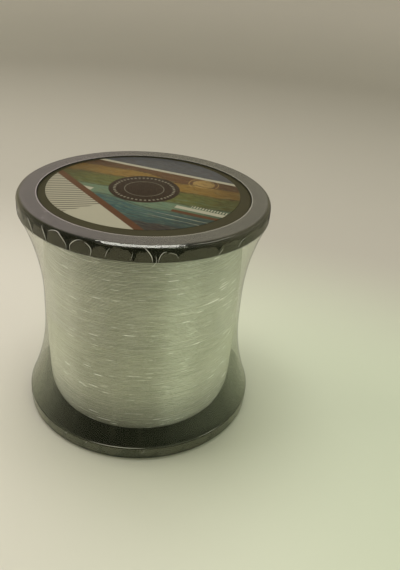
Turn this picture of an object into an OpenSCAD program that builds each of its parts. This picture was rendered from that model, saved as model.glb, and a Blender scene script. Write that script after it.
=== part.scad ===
// Bulk spool of monofilament fishing line: two moulded flanges on a hollow
// barrel, the wound line, a sticker on each end and a heat-shrunk clear sleeve.
// Origin: centre of the underside. +Z runs up the axis of the spool.

/* [Spool] */
// Diameter of each flange
flange_d = 120; // [112:1:150]
// Height over the outer faces of the two flanges
spool_h = 117; // [90:1:160]
// Play between pieces that lie against each other
fit_gap = 0.05; // [0.02:0.01:0.1]

/* [Flanges] */
// Height of the rim, from the outer face to the face the line lies against
rim_h = 7.5; // [7:0.5:12]
// Radius of the rim's two rounded corners
corner_r = 1.2; // [0.5:0.1:3.2]
// Thickness of the web between the rim and the boss
web_t = 2.5; // [1.5:0.1:3.5]
// Width of the flat land between the rim's edge and the recess
land_w = 9.5; // [8:0.1:14]
// Number of ribs in the recess
rib_count = 8; // [4:1:16]
// Thickness of a rib
rib_t = 2; // [1:0.1:4]
// Bore for the spindle
bore_d = 16; // [8:0.5:20]
// Wall of the boss round the bore
boss_wall = 3; // [2:0.5:5]
// Length of the boss, from the outer face of the end disc inwards
boss_len = 21; // [12:1:30]

/* [Barrel] */
// Outer diameter of the barrel that the line is wound on
barrel_d = 55; // [46:1:70]
// Wall of the barrel
barrel_wall = 2.5; // [1.5:0.1:4]
// Depth to which a flange's spigot reaches into the barrel
spigot_len = 8; // [4:0.5:12]
// Wall of the spigot
spigot_wall = 2; // [1:0.1:3]

/* [End discs and stickers] */
// Thickness of an end disc
disc_t = 1.6; // [1:0.1:2]
// Depth of the end disc's outer face below the flange's
disc_drop = 0.8; // [0.5:0.1:1.5]
// Width of the bare ring round a sticker that lies in the middle
label_margin = 3.9; // [3.9:0.1:15]
// Thickness of a sticker
label_t = 0.15; // [0.1:0.01:0.3]
// Distance by which the upper sticker is off centre, towards +Y
label_shift = 3.4; // [0:0.1:3.4]
// The same towards -X
label_side = 0.9; // [0:0.1:1.5]
// Hole in the lower sticker, for the spindle
label_hole_d = 18; // [16:0.5:30]

/* [Line] */
// Diameter of the line
line_d = 0.7; // [0.5:0.05:1]
// Distance from a flange's edge in to the winding at mid height
edge_to_line = 9.9; // [8:0.1:16]
// Amount by which the winding's radius falls from mid height to its ends
crown = 1.2; // [0:0.1:3]
// Further fall of the radius where the end turns slip down at a flange
end_drop = 2.2; // [0:0.1:5]
// Height of that rounded end
end_len = 11; // [6:0.5:20]
// Turns of the outer layer
turns = 24; // [8:1:24]

/* [Tape on the line's end] */
// Width of the tape, up the spool
tape_w = 18; // [10:1:30]
// Length of the tape, round the winding
tape_len = 40; // [20:1:60]
// Thickness of the tape
tape_t = 0.15; // [0.1:0.01:0.3]
// Angle of the tape's middle round the spool, from +X
tape_angle = 115; // [0:5:355]

/* [Sleeve] */
// Thickness of the shrunk sleeve
film_t = 0.3; // [0.1:0.01:0.4]
// Width of the land that the sleeve's lip leaves bare
lip_margin = 0.4; // [0.2:0.1:3]
// Height of the stretch that lies on the winding
waist_len = 12; // [4:1:30]

/* [Hidden] */
$fn = 96;

flange_r = flange_d / 2;
recess_r = flange_r - land_w;
bore_r = bore_d / 2;
boss_r = bore_r + boss_wall;
barrel_r = barrel_d / 2;
spigot_r = barrel_r - barrel_wall - fit_gap;
wound_r = flange_r - edge_to_line;
label_r = recess_r - label_margin;
line_r = line_d / 2;

// Heights: the sleeve's lip lies under the lower flange.
base_z = film_t + fit_gap;
top_z = base_z + spool_h;
mid_z = base_z + spool_h / 2;
wind_z = base_z + rim_h;        // face that the lowest turn lies against
wind_w = spool_h - 2 * rim_h;   // width of the winding between the flanges
bite = 0.5;                     // overlap of shapes that make one solid
arc_steps = 7;                  // straight steps in a rounded corner

function arc(centre, r, from, to) =
    [for (i = [0:arc_steps]) let (a = from + (to - from) * i / arc_steps)
        centre + r * [cos(a), sin(a)]];

// ---------------------------------------------------------------- flanges

// Half section of a flange that lies on its outer face.
flange_section = concat(
    [[bore_r, disc_drop], [bore_r, disc_drop + boss_len],
     [boss_r, disc_drop + boss_len], [boss_r, rim_h],
     [spigot_r - spigot_wall, rim_h], [spigot_r - spigot_wall, rim_h + spigot_len],
     [spigot_r, rim_h + spigot_len], [spigot_r, rim_h]],
    arc([flange_r - corner_r, rim_h - corner_r], corner_r, 90, 0),
    arc([flange_r - corner_r, corner_r], corner_r, 0, -90),
    [[recess_r, 0], [recess_r, rim_h - web_t], [boss_r, rim_h - web_t],
     [boss_r, disc_drop]]);

module flange() {
    rib_z = disc_drop + disc_t;
    rotate_extrude() polygon(flange_section);
    for (i = [0:rib_count - 1])
        rotate([0, 0, i * 360 / rib_count])
            translate([boss_r - bite, -rib_t / 2, rib_z])
                cube([recess_r - boss_r + 2 * bite, rib_t, rim_h - web_t - rib_z + bite]);
}

// What belongs to one end is drawn with that flange's outer face at z = 0.
module at_lower_end() {
    translate([0, 0, base_z]) children();
}

module at_upper_end() {
    translate([0, 0, top_z]) mirror([0, 0, 1]) children();
}

module lower_flange() {
    color("#2a2a25") at_lower_end() flange();
}

module upper_flange() {
    color("#2a2a25") at_upper_end() flange();
}

module barrel() {
    color("#3a3a36") translate([0, 0, wind_z]) difference() {
        cylinder(r = barrel_r, h = wind_w);
        translate([0, 0, -bite])
            cylinder(r = barrel_r - barrel_wall, h = wind_w + 2 * bite);
    }
}

// ----------------------------------------------------- end discs, stickers

// A disc lies on the ribs and closes the recess, round the boss.
module end_disc() {
    translate([0, 0, disc_drop]) difference() {
        cylinder(r = recess_r - fit_gap, h = disc_t);
        translate([0, 0, -bite]) cylinder(r = boss_r + fit_gap, h = disc_t + 2 * bite);
    }
}

module lower_end_disc() {
    color("#34332b") at_lower_end() end_disc();
}

module upper_end_disc() {
    color("#34332b") at_upper_end() end_disc();
}

module sticker() {
    translate([0, 0, disc_drop - label_t]) cylinder(r = label_r, h = label_t);
}

module lower_label() {
    color("#c9c7b4") at_lower_end() difference() {
        sticker();
        cylinder(d = label_hole_d, h = disc_drop + bite);
    }
}

module upper_label() {
    color("#4f7f78") at_upper_end() translate([-label_side, label_shift, 0]) sticker();
}

// -------------------------------------------------------------------- line

turn_rings = 24;                // rings of the tube in one turn
tube_sides = 6;
play = 0.02;                    // least distance from the tube to the pack
chord_sag = wound_r * (1 - cos(180 / turn_rings));
pack_r = wound_r - line_d - chord_sag - play;

// Radius of the packed line, and how steeply it falls, at a height u above
// the lower flange's face; d is the distance to the nearer flange.
function to_flange(u) = min(u, wind_w - u);
function in_end(d) = d < end_len ? 1 - d / end_len : 0;
function pack_radius(u) = let (d = to_flange(u))
    pack_r - crown * pow(1 - 2 * d / wind_w, 2) - end_drop * pow(in_end(d), 3);
function pack_slope(u) = let (d = to_flange(u))
    4 * crown / wind_w * (1 - 2 * d / wind_w)
    + 3 * end_drop / end_len * pow(in_end(d), 2);
// Radius at which the middle of the line runs over the pack.
function run_radius(u) = pack_radius(u) + chord_sag + play
    + line_r * sqrt(1 + pow(pack_slope(u), 2));

section_steps = 8;
pack_heights = concat(
    [for (i = [0:section_steps]) end_len * i / section_steps],
    [for (i = [1:section_steps - 1]) end_len + (wind_w - 2 * end_len) * i / section_steps],
    [for (i = [section_steps:-1:0]) wind_w - end_len * i / section_steps]);

module line_pack() {
    inner_r = barrel_r + fit_gap;
    color("#c3c7b4") translate([0, 0, wind_z]) rotate_extrude()
        polygon(concat([[inner_r, 0]],
                       [for (u = pack_heights) [pack_radius(u), u]],
                       [[inner_r, wind_w]]));
}

// The outer layer is one tube. Both of its ends stand square on a flange's
// face for one diameter and then bend into the helix.
helix_u = line_d + line_r;      // height of the bend above the flange's face
ring_count = turns * turn_rings;
function turn_angle(k) = 360 * k / turn_rings;
function turn_u(k) = helix_u + (wind_w - 2 * helix_u) * k / ring_count;
function run_point(a, u) = let (r = run_radius(u)) [r * cos(a), r * sin(a), u];

// A ring of the tube round its middle, at angle a of the turn. Its plane holds
// the way out from the axis and the vector side.
function ring(middle, a, side) =
    [for (j = [0:tube_sides - 1]) let (b = 360 * j / tube_sides)
        middle + line_r * (cos(b) * [cos(a), sin(a), 0] + sin(b) * side)];
function back(a) = [sin(a), -cos(a), 0];
up = [0, 0, 1];

last_angle = turn_angle(ring_count);
run = [for (k = [0:ring_count]) run_point(turn_angle(k), turn_u(k))];
low_end = [run[0][0], run[0][1], 0];
high_end = [run[ring_count][0], run[ring_count][1], wind_w];
tube_path = concat([low_end], run, [high_end]);
tube_rings = concat(
    [ring(low_end, 0, back(0)), ring(run[0], 0, up + back(0))],
    [for (k = [1:ring_count - 1]) ring(run[k], turn_angle(k), up)],
    [ring(run[ring_count], last_angle, up + back(last_angle)),
     ring(high_end, last_angle, back(last_angle))]);

// Least distance between the surfaces of neighbouring turns.
near_rings = 3;                 // rings looked at on either side of the nearest
path_count = len(tube_path);
least_gap = min([for (i = [0:path_count - 1])
    for (j = [i + turn_rings - near_rings:min(i + turn_rings + near_rings, path_count - 1)])
        norm(tube_path[i] - tube_path[j])]) - line_d;
echo(str("Least gap between turns of the line: ", least_gap, " mm"));

module line_outer_layer() {
    n = tube_sides;
    last = n * (len(tube_rings) - 1);
    walls = [for (i = [0:len(tube_rings) - 2]) for (j = [0:n - 1])
        let (a = i * n + j, b = i * n + (j + 1) % n)
        each [[a, b, b + n], [a, b + n, a + n]]];
    caps = [for (j = [1:n - 2]) each [[0, j + 1, j], [last, last + j, last + j + 1]]];
    color("#dfe3d3") translate([0, 0, wind_z])
        polyhedron([for (one = tube_rings) each one], concat(walls, caps));
}

// The tape lies on the outer layer, half way up.
tape_r = wound_r + fit_gap;

module line_end_tape() {
    sweep = 360 * tape_len / (2 * PI * tape_r);
    color("#e8e6dc") translate([0, 0, mid_z - tape_w / 2])
        rotate([0, 0, tape_angle - sweep / 2]) rotate_extrude(angle = sweep)
            translate([tape_r, 0]) square([tape_t, tape_w]);
}

// ------------------------------------------------------------------ sleeve

// A side of the sleeve, from the lower lip's edge up to mid height: along the
// outer face, round the rim, then free in a parabola to the waist. It leaves
// the rim's corner at the angle at which the two curves are tangent. hug is its
// radius round the rim's corners and waist_r its radius at the waist.
waist_z = mid_z - waist_len / 2;
angle_tries = 12;
flare_steps = 16;
corner_low = [flange_r - corner_r, base_z + corner_r];
corner_high = [flange_r - corner_r, base_z + rim_h - corner_r];

function leaving(hug, a) = corner_high + hug * [cos(a), sin(a)];
function tangent_angle(hug, waist_r, a, tries) = tries == 0 ? a
    : let (p = leaving(hug, a))
      tangent_angle(hug, waist_r, atan(2 * (p[0] - waist_r) / (waist_z - p[1])), tries - 1);
function half_side(hug, waist_r) =
    let (leave_angle = tangent_angle(hug, waist_r, 0, angle_tries),
         leave = leaving(hug, leave_angle))
    concat(
        [[recess_r + lip_margin, corner_low[1] - hug]],
        arc(corner_low, hug, -90, 0),
        arc(corner_high, hug, 0, leave_angle),
        [for (i = [1:flare_steps]) let (s = 1 - i / flare_steps)
            [waist_r + (leave[0] - waist_r) * s * s,
             waist_z - (waist_z - leave[1]) * s]]);

// The sides at a distance off the spool, each mirrored about mid height.
function whole_side(off) =
    let (half = half_side(corner_r + off, tape_r + tape_t + off), n = len(half))
    concat(half, [for (i = [n - 1:-1:0]) [half[i][0], 2 * mid_z - half[i][1]]]);

module shrink_film() {
    inside = whole_side(fit_gap);
    outside = whole_side(fit_gap + film_t);
    color([0.86, 0.9, 0.88, 0.35]) rotate_extrude()
        polygon(concat(inside, [for (i = [len(outside) - 1:-1:0]) outside[i]]));
}

lower_flange();
upper_flange();
barrel();
lower_end_disc();
upper_end_disc();
lower_label();
upper_label();
line_pack();
line_outer_layer();
line_end_tape();
shrink_film();
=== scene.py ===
"""Looks of a bulk spool of fishing line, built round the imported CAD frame.

Lengths are in metres. An angle "round the spool" is 0 at the front (-Y) and grows
towards +X. A rim's depth is measured from its outer face towards the winding.
"""

import random
from math import atan, cos, hypot, pi, radians, sin, sqrt, tan
from types import SimpleNamespace

import bmesh
import bpy
import numpy as np
from mathutils import Matrix, Vector


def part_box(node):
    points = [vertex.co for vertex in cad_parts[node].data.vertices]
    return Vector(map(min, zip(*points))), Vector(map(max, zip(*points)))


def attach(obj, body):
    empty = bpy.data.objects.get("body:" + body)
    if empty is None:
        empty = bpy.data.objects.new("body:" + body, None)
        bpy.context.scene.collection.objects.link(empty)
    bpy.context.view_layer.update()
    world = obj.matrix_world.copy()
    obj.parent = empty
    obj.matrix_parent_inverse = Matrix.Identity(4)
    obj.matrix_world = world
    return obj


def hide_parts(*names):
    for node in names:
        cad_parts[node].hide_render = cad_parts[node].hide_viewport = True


MM = 0.001

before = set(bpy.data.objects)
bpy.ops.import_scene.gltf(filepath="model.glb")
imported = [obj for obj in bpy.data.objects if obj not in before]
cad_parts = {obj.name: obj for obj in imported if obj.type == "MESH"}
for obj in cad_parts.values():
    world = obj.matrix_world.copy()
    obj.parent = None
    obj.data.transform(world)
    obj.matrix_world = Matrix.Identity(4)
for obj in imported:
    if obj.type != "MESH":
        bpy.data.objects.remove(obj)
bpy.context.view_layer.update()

# --- sizes

label_low, label_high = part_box("upper_label")
FLANGE_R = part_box("upper_flange")[1].x
BASE_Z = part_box("lower_flange")[0].z
TOP_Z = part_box("upper_flange")[1].z
WIND_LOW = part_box("line_pack")[0].z
WIND_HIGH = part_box("line_pack")[1].z
WOUND_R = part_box("line_outer_layer")[1].x
BARREL_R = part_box("barrel")[1].x
DISC_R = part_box("upper_end_disc")[1].x
FILM_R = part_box("shrink_film")[1].x
LABEL_R = (label_high.x - label_low.x) / 2
LABEL_X = (label_high.x + label_low.x) / 2
LABEL_Y = (label_high.y + label_low.y) / 2

MID_Z = (WIND_LOW + WIND_HIGH) / 2
WIND_W = WIND_HIGH - WIND_LOW
RIM_H = WIND_LOW - BASE_Z
PLAY = 0.05 * MM  # between pieces that are pressed together
CORNER_R = 1.8 * MM  # rim corner at the outer face
INNER_R = 0.7 * MM  # rim corner on the winding's side
RECESS_R = DISC_R + PLAY
WEB_T = 2.5 * MM
BORE_R = 8 * MM
BOSS_R = 11 * MM
BOSS_LEN = 21 * MM
SPIGOT_R = 24.95 * MM
SPIGOT_WALL = 2 * MM
SPIGOT_LEN = 8 * MM
BARREL_WALL = 2.5 * MM
RIB_COUNT = 8
RIB_T = 2 * MM
RIB_BITE = 0.3 * MM  # how far a rib goes into what it joins
DISC_DROP = 0.8 * MM
DISC_T = 1.6 * MM
BEAD_H = 0.45 * MM  # raised edge of an end disc
BEAD_FOOT = 0.30 * MM  # its width at the foot
BEAD_CREST = 0.22 * MM  # and at the top
LABEL_T = 0.15 * MM
LABEL_HOLE_R = 9 * MM
LINE_D = 0.7 * MM

ROUND = 256  # segments in a turned piece

# --- mesh tools


def linked(name, data):
    """A new object in the scene that shows data."""
    new = bpy.data.objects.new(name, data)
    bpy.context.scene.collection.objects.link(new)
    return new


def new_object(name, points, faces, material=None):
    """A mesh object made of points and faces, with its normals turned outwards."""
    mesh = bpy.data.meshes.new(name)
    mesh.from_pydata(np.reshape(points, (-1, 3)).tolist(), [], faces)
    if material:
        mesh.materials.append(material)
    work = bmesh.new()
    work.from_mesh(mesh)
    bmesh.ops.recalc_face_normals(work, faces=work.faces)
    work.to_mesh(mesh)
    work.free()
    return linked(name, mesh)


def around(r, angle, z):
    """Points at a radius, an angle round the spool and a height (arrays)."""
    return np.stack([r * np.sin(angle), -r * np.cos(angle), z + 0 * angle], -1)


def quads(rows, columns, wrap_rows, wrap_columns):
    """Faces of a grid of points; a wrap of 1 joins its last row or column to the first."""
    index = np.arange(rows * columns).reshape(rows, columns)
    index = np.pad(index, ((0, wrap_rows), (0, wrap_columns)), mode="wrap")
    corners = (index[:-1, :-1], index[:-1, 1:], index[1:, 1:], index[1:, :-1])
    return np.stack(corners, -1).reshape(-1, 4)


def rounded(corners, steps=6):
    """Closed outline from corners (x, y, fillet radius)."""
    outline = []
    count = len(corners)
    for i, (x, y, radius) in enumerate(corners):
        here = Vector((x, y))
        if radius == 0:
            outline.append((x, y))
            continue
        before = (Vector(corners[i - 1][:2]) - here).normalized()
        after = (Vector(corners[(i + 1) % count][:2]) - here).normalized()
        half = before.angle(after) / 2
        centre = here + (before + after).normalized() * radius / sin(half)
        first, last = [here + way * radius / tan(half) - centre for way in (before, after)]
        for k in range(steps + 1):
            outline.append(tuple(centre + first.slerp(last, k / steps) * radius))
    return outline


def spun(outline, segments, closed=1):
    """Points and faces of an outline of (radius, height) turned round the Z axis."""
    r, z = np.array(outline).T
    angle = 2 * pi * np.arange(segments)[:, None] / segments
    return around(r, angle, z), quads(segments, len(outline), 1, closed).tolist()


def turned(name, outline, material):
    """A solid with a closed outline, turned round the Z axis."""
    return new_object(name, *spun(outline, ROUND), material)


def mirrored_to_top(outline):
    """The outline at the upper end."""
    return [(r, BASE_Z + TOP_Z - z) for r, z in outline]


def on_lower_end(corners):
    """Corners measured from the lower flange's outer face, in the frame."""
    return [(r, z + BASE_Z, radius) for r, z, radius in corners]


def tube(path, across, up, sides):
    """Points and faces of a closed tube; across and up span each ring."""
    count = len(path)
    a = 2 * pi * np.arange(sides)[:, None] / sides
    rings = path[:, None, :] + np.cos(a) * across[:, None, :] + np.sin(a) * up[:, None, :]
    caps = [[*range(sides)][::-1], [*range((count - 1) * sides, count * sides)]]
    return rings.reshape(-1, 3), quads(count, sides, 0, 1).tolist() + caps


def shell(name, outer, inner, material, wrap):
    """A thin closed piece between two grids of points, whose columns may wrap round."""
    rows, columns, _ = outer.shape
    size = rows * columns
    side = quads(rows, columns, 0, wrap)
    index = np.arange(size).reshape(rows, columns)
    edges = [np.append(index[0], index[0][:wrap]), np.append(index[-1], index[-1][:wrap])[::-1]]
    edges += [] if wrap else [index[:, -1], index[::-1, 0]]
    rim = [np.stack([e[:-1], e[:-1] + size, e[1:] + size, e[1:]], -1) for e in edges]
    faces = np.concatenate([side, side[:, ::-1] + size, *rim])
    return new_object(name, np.stack([outer, inner]), faces.tolist(), material)


# --- material tools


def feed(source, socket):
    """Links a Value or a node's socket to socket, or sets a plain number or colour."""
    source = getattr(source, "socket", source)
    if isinstance(source, bpy.types.NodeSocket):
        socket.id_data.links.new(source, socket)
    elif isinstance(source, tuple):
        socket.default_value = (*source, 1.0)[: len(socket.default_value)]
    else:
        socket.default_value = source


def add_node(kind, like, inputs, **settings):
    """A new node in the node tree that like is in, with its settings and its inputs."""
    tree = getattr(like, "socket", like).id_data
    node = tree.nodes.new("ShaderNode" + kind)
    for name, value in settings.items():
        setattr(node, name, value)
    for key, source in inputs.items():
        feed(source, node.inputs[key])
    return node


def maths(operation):
    """A method of Value that adds a Math node."""
    def method(*terms):
        inputs = dict(enumerate(terms))
        return Value(add_node("Math", terms[0], inputs, operation=operation).outputs[0])
    return method


class Value:
    """A number in a node tree, with arithmetic that adds Math nodes."""

    def __init__(self, socket):
        self.socket = socket

    __add__ = maths("ADD")
    __sub__ = maths("SUBTRACT")
    __mul__ = maths("MULTIPLY")
    __truediv__ = maths("DIVIDE")
    sine = maths("SINE")
    absolute = maths("ABSOLUTE")
    angle_from = maths("ARCTAN2")  # y.angle_from(x) is the angle of the point (x, y)
    power = maths("POWER")
    least = maths("MINIMUM")
    most = maths("MAXIMUM")
    floor = maths("FLOOR")

    def __rsub__(self, other):
        return self * -1 + other

    def ramp(self, low, high):
        """0 below low, 1 above high and smooth between them."""
        inputs = {"Value": self, "From Min": low, "From Max": high}
        node = add_node("MapRange", self, inputs, interpolation_type="SMOOTHSTEP")
        return Value(node.outputs["Result"])

    def fall(self, low, high):
        """1 below low, 0 above high and smooth between them."""
        return 1 - self.ramp(low, high)

    def above(self, edge, soft):
        """1 above edge, which is soft to both sides."""
        return self.ramp(edge - soft, edge + soft)

    def under(self, edge, soft):
        return self.fall(edge - soft, edge + soft)

    def between(self, low, high, soft):
        return self.above(low, soft) * self.under(high, soft)


def new_material(name):
    """A material, and its object coordinates in metres, as a socket and three Values."""
    material = bpy.data.materials.new(name)
    material.use_nodes = True
    nodes = material.node_tree.nodes
    nodes.clear()
    where = nodes.new("ShaderNodeTexCoord").outputs["Object"]
    split = add_node("SeparateXYZ", where, {0: where})
    return material, where, [Value(socket) for socket in split.outputs]


def distance(x, y):
    """Length of (x, y)."""
    return (x * x + y * y).power(0.5)


def turned_axes(x, y, turn):
    """x and y in axes turned by turn radians."""
    return (x * cos(turn) + y * sin(turn),
            y * cos(turn) - x * sin(turn))


def noise(where, scale, detail=3.0, rough=0.5, stretch=None):
    """Noise from 0 to 1; scale is in waves per metre, and stretch multiplies it per axis."""
    if stretch:
        inputs = {0: where, 1: stretch}
        where = add_node("VectorMath", where, inputs, operation="MULTIPLY").outputs[0]
    inputs = {"Vector": where, "Scale": scale, "Detail": detail, "Roughness": rough}
    return Value(add_node("TexNoise", where, inputs).outputs["Fac"])


def attribute(where, name):
    """A number stored at the points of a piece's mesh."""
    return Value(add_node("Attribute", where, {}, attribute_name=name).outputs["Fac"])


def vector(*parts):
    return add_node("CombineXYZ", parts[0], dict(enumerate(parts))).outputs[0]


def mix(share, first, second):
    """A colour between first (share 0) and second (share 1)."""
    inputs = {"Factor": share, 6: first, 7: second}
    return add_node("Mix", share, inputs, data_type="RGBA").outputs[2]


def layered(color, layers):
    """color with layers laid over it in turn, each (share, colour)."""
    for share, ink in layers:
        color = mix(share, color, ink)
    return color


def bump(height, span):
    """A normal bent by height, which spans span metres from 0 to 1."""
    return add_node("Bump", height, {"Distance": span, "Height": height}).outputs["Normal"]


def principled(color, roughness, normal=None, **others):
    """A Principled shader; others holds more of its sockets."""
    inputs = {label.replace("_", " "): value for label, value in others.items()}
    inputs.update({"Base Color": color, "Roughness": roughness})
    if normal:
        inputs["Normal"] = normal
    return add_node("BsdfPrincipled", color, inputs).outputs["BSDF"]


def mix_shaders(share, first, second):
    """As mix, for shaders."""
    return add_node("MixShader", share, dict(enumerate((share, first, second)))).outputs[0]


def surfaced(material, shader):
    """The material, with shader as its surface."""
    add_node("OutputMaterial", shader, {"Surface": shader})
    return material


def display(red, green, blue):
    """A colour given by its 8-bit display values."""
    return tuple((c / 255 / 12.92) if c < 10 else ((c / 255 + 0.055) / 1.055) ** 2.4
                 for c in (red, green, blue))


# --- moulded materials

DISC_RING = 0.35 * MM  # from one turning ring to the next


def flange_material():
    """Black moulded polystyrene: olive-black, with a faint texture and scuffs."""
    material, where, _ = new_material("flange_plastic")
    cloud = noise(where, 60, 4)
    grain = noise(where, 2600, 2)
    scuff = noise(where, 900, 5, rough=0.7, stretch=(1, 1, 6)).ramp(0.62, 0.75)
    color = mix(cloud.ramp(0.3, 0.7), (0.0034, 0.0045, 0.0012), (0.0050, 0.0066, 0.0020))
    color = mix(scuff * 0.08, color, (0.03, 0.028, 0.02))
    rough = cloud * 0.08 + scuff * 0.05 + 0.28
    normal = bump(cloud * 4 + grain * 0.01, 0.01 * MM)
    return surfaced(material, principled(color, rough, normal, Specular_IOR_Level=0.12))


def disc_material():
    """Satin olive-black disc with fine turning rings."""
    material, where, (x, y, _) = new_material("disc_plastic")
    rings = (distance(x, y) * (2 * pi / DISC_RING)).sine() * 0.5 + 0.5
    cloud = noise(where, 90, 4)
    speck = noise(where, 1400, 1).ramp(0.76, 0.8)
    color = mix(cloud, (0.036, 0.032, 0.014), (0.048, 0.044, 0.020))
    color = mix(speck * 0.5, color, (0.2, 0.19, 0.13))
    normal = bump(rings * 0.4 + noise(where, 3000) * 0.8, 0.01 * MM)
    rough = cloud * 0.1 + 0.45
    return surfaced(material, principled(color, rough, normal, Specular_IOR_Level=0.15))


# --- line materials

TURN_SCATTER = (0.0137, 0.0071)  # jump of the noise from one turn to the next
HAIR_SCATTER = (0.0119, 0.0083)  # and from one half turn to the next


def row_place(way, z, height, scatter):
    """Places for noise that runs along the winding and jumps from row to row."""
    row = ((z - WIND_LOW) / height).floor()
    return vector(way, row * scatter[0], row * scatter[1])


def painted_line_shade(z):
    """Painted shade: share of the line's colour kept, less near both flanges and least near the
    lower one; it stands for shade and for the black flanges seen through the clear line.
    """
    low = (z - WIND_LOW).ramp(2 * MM, 28 * MM) * 0.5 + 0.5
    return low * ((WIND_HIGH - z).ramp(0.0, 36 * MM) * 0.25 + 0.75)


def line_material():
    """Clear monofilament, seen as pale glossy strands with sparse painted glints and painted
    shade near both flanges.
    """
    material, where, (x, y, z) = new_material("line")
    way = x.angle_from(y * -1) * WOUND_R
    flat = vector(way, z, 0.0)
    turn_place = row_place(way, z, LINE_D, TURN_SCATTER)
    fine_place = row_place(way, z, LINE_D / 2, HAIR_SCATTER)
    tone = noise(where, 70, 3, stretch=(1, 1, 2.5))
    streak = noise(turn_place, 1000, 3, stretch=(0.16, 1, 1))
    band = noise(flat, 1000, 2, stretch=(0.006, 0.35, 1))
    speck = noise(where, 1500, 2)
    hair = noise(fine_place, 1000, 2, stretch=(0.11, 1, 1))
    # where the painted glints go: random patches, fewer towards -X
    here = noise(flat, 60, 2).ramp(0.34, 0.56)
    here = here * (x.ramp(-0.9 * WOUND_R, -0.5 * WOUND_R) * 0.85 + 0.15)
    # painted glints: short near-white dashes on single half turns, standing in for lamp
    # highlights
    painted_glint = noise(fine_place, 1000, 0, stretch=(0.11, 1, 1)).ramp(0.71, 0.80) * here
    # the strands show less near the upper flange and at the winding's sides
    clear = (WIND_HIGH - z).ramp(4 * MM, 30 * MM) * 0.5 + 0.5
    clear = clear * (x.absolute().ramp(0.5 * WOUND_R, 0.95 * WOUND_R) * -0.55 + 1)
    pale = mix(tone.ramp(0.3, 0.7), (0.530, 0.547, 0.452), (0.597, 0.609, 0.505))
    color = layered(pale, [
        (band.ramp(0.3, 0.7) * 0.07, (0.44, 0.445, 0.35)),
        (streak.ramp(0.5, 0.7) * clear * 0.15, (0.85, 0.84, 0.72)),
        (streak.ramp(0.5, 0.3) * clear * 0.14, (0.36, 0.365, 0.28)),
        (hair.ramp(0.48, 0.32) * clear * 0.32, (0.34, 0.345, 0.27)),
        (hair.ramp(0.55, 0.70) * clear * 0.34, (0.9, 0.89, 0.77)),
        (speck.ramp(0.45, 0.62) * 0.32, (0.40, 0.44, 0.32)),
        (speck.ramp(0.50, 0.36) * 0.2, (0.82, 0.80, 0.72)),
        (painted_glint, (1.0, 1.0, 0.95))])
    # painted shade near both flanges, laid over the line's colour
    color = mix(painted_line_shade(z), (0.0, 0.0, 0.0), color)
    normal = bump(noise(where, 700, 2), 0.03 * MM)
    shader = principled(color, 0.27, normal, IOR=1.45, Metallic=painted_glint * -0.47 + 0.47)
    return surfaced(material, shader)


def packed_line_material():
    """The line under the outer layer: the same line, with painted shade between its turns."""
    material, where, (_, _, z) = new_material("packed_line")
    # turn: the turns' relief for the bump, and painted shade between the turns in the colour
    turn = (z * (2 * pi / LINE_D)).sine() * 0.5 + 0.5
    tone = noise(where, 200, 3)
    color = mix(turn.power(0.6), (0.50, 0.51, 0.42), (0.60, 0.61, 0.51))
    color = mix(tone * 0.3, color, (0.54, 0.55, 0.46))
    normal = bump(turn, 0.2 * MM)
    return surfaced(material, principled(color, 0.3, normal, Metallic=0.4))


# --- film material

MOST_MIRROR = 0.62  # the film never mirrors more than this


def film_place(where, x, y, z):
    """Where a point of the sleeve is: lengths in mm, and masks from 0 to 1.

    The mesh holds three: below (mm under its slack panel's top, over which the film
    clings to the rim), taut (how flat it spans the rim's corner) and haze."""
    rim_h = RIM_H / MM
    depth = (z - BASE_Z).least(TOP_Z - z) / MM
    inset = (FLANGE_R - distance(x, y)) / MM
    rag = noise(where, 1100, 4) - 0.5
    return SimpleNamespace(
        where=where, x=x, depth=depth, inset=inset,
        fray=vector(x.angle_from(y) * (FLANGE_R * 0.2), distance(x, y), 0.0),
        upper=z.ramp(MID_Z - MM, MID_Z + MM),
        rim=depth.ramp(0.4, 0.9) * depth.fall(rim_h - 0.7, rim_h - 0.1),
        fold=depth.between(rim_h - 0.75, rim_h - 0.15, 0.1),
        flare=depth.ramp(rim_h - 1, rim_h + 1),
        lip=inset.ramp(0.9, 2.2) * depth.fall(0.3, 1.0),
        panel=(attribute(where, "below") + rag * 1.5).ramp(-0.10, 0.10),
        taut=attribute(where, "taut") * depth.fall(0.75, 1.1) * inset.fall(1.7, 2.5),
        extra=attribute(where, "haze"))


def film_cling(at):
    """How closely the film clings to a rim, which keeps it from mirroring."""
    corner = at.inset.fall(1.9, 2.5) * at.depth.fall(1.6, 2.4) * 0.7
    corner = corner * (at.x.absolute().ramp(38 * MM, 56 * MM) * -0.15 + 1)
    cling = (1 - at.panel) * (at.upper * 0.85 + 0.15)
    cling = (cling.most(at.upper * 0.5) * at.rim).most(corner).most(at.fold * 0.8)
    return cling * (1 - at.taut)


def film_mirror(at, edge):
    """Share of light that the film mirrors; edge is 1 where it is seen from the side."""
    face_on = (at.upper * -0.040 + 0.055) * (at.flare * -0.9 + 1) + at.taut * 0.034
    grazing = edge.power(5) * (at.inset.fall(0, 0.3) * -0.25 + 0.96)
    grazing = grazing * (1 - at.flare) * (at.upper * -0.58 + 1)
    grazing = grazing + edge.power(3.2) * at.flare * 0.62
    return ((grazing + face_on) * (film_cling(at) * -0.95 + 1)).least(MOST_MIRROR)


def film_haze(at):
    """Share of light that the film scatters, most of it on its lip over the end faces."""
    lip_w = FILM_LIP / MM
    cloud = noise(at.where, 260, 4)
    slack = at.panel * at.rim * (at.upper * 0.4 + 0.6)
    bead = at.inset.ramp(lip_w - 0.6, lip_w - 0.25)
    dust = noise(at.where, 420, 1).ramp(0.74, 0.78)
    fray = noise(at.fray, 800, 2).ramp(0.70, 0.78)
    haze = (at.lip * 0.086 + slack * 0.032 + 0.003) * (cloud * 0.5 + 0.75)
    return haze + at.lip * (bead * 0.2 + dust * 0.12 + fray * 0.12) + at.extra


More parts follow.
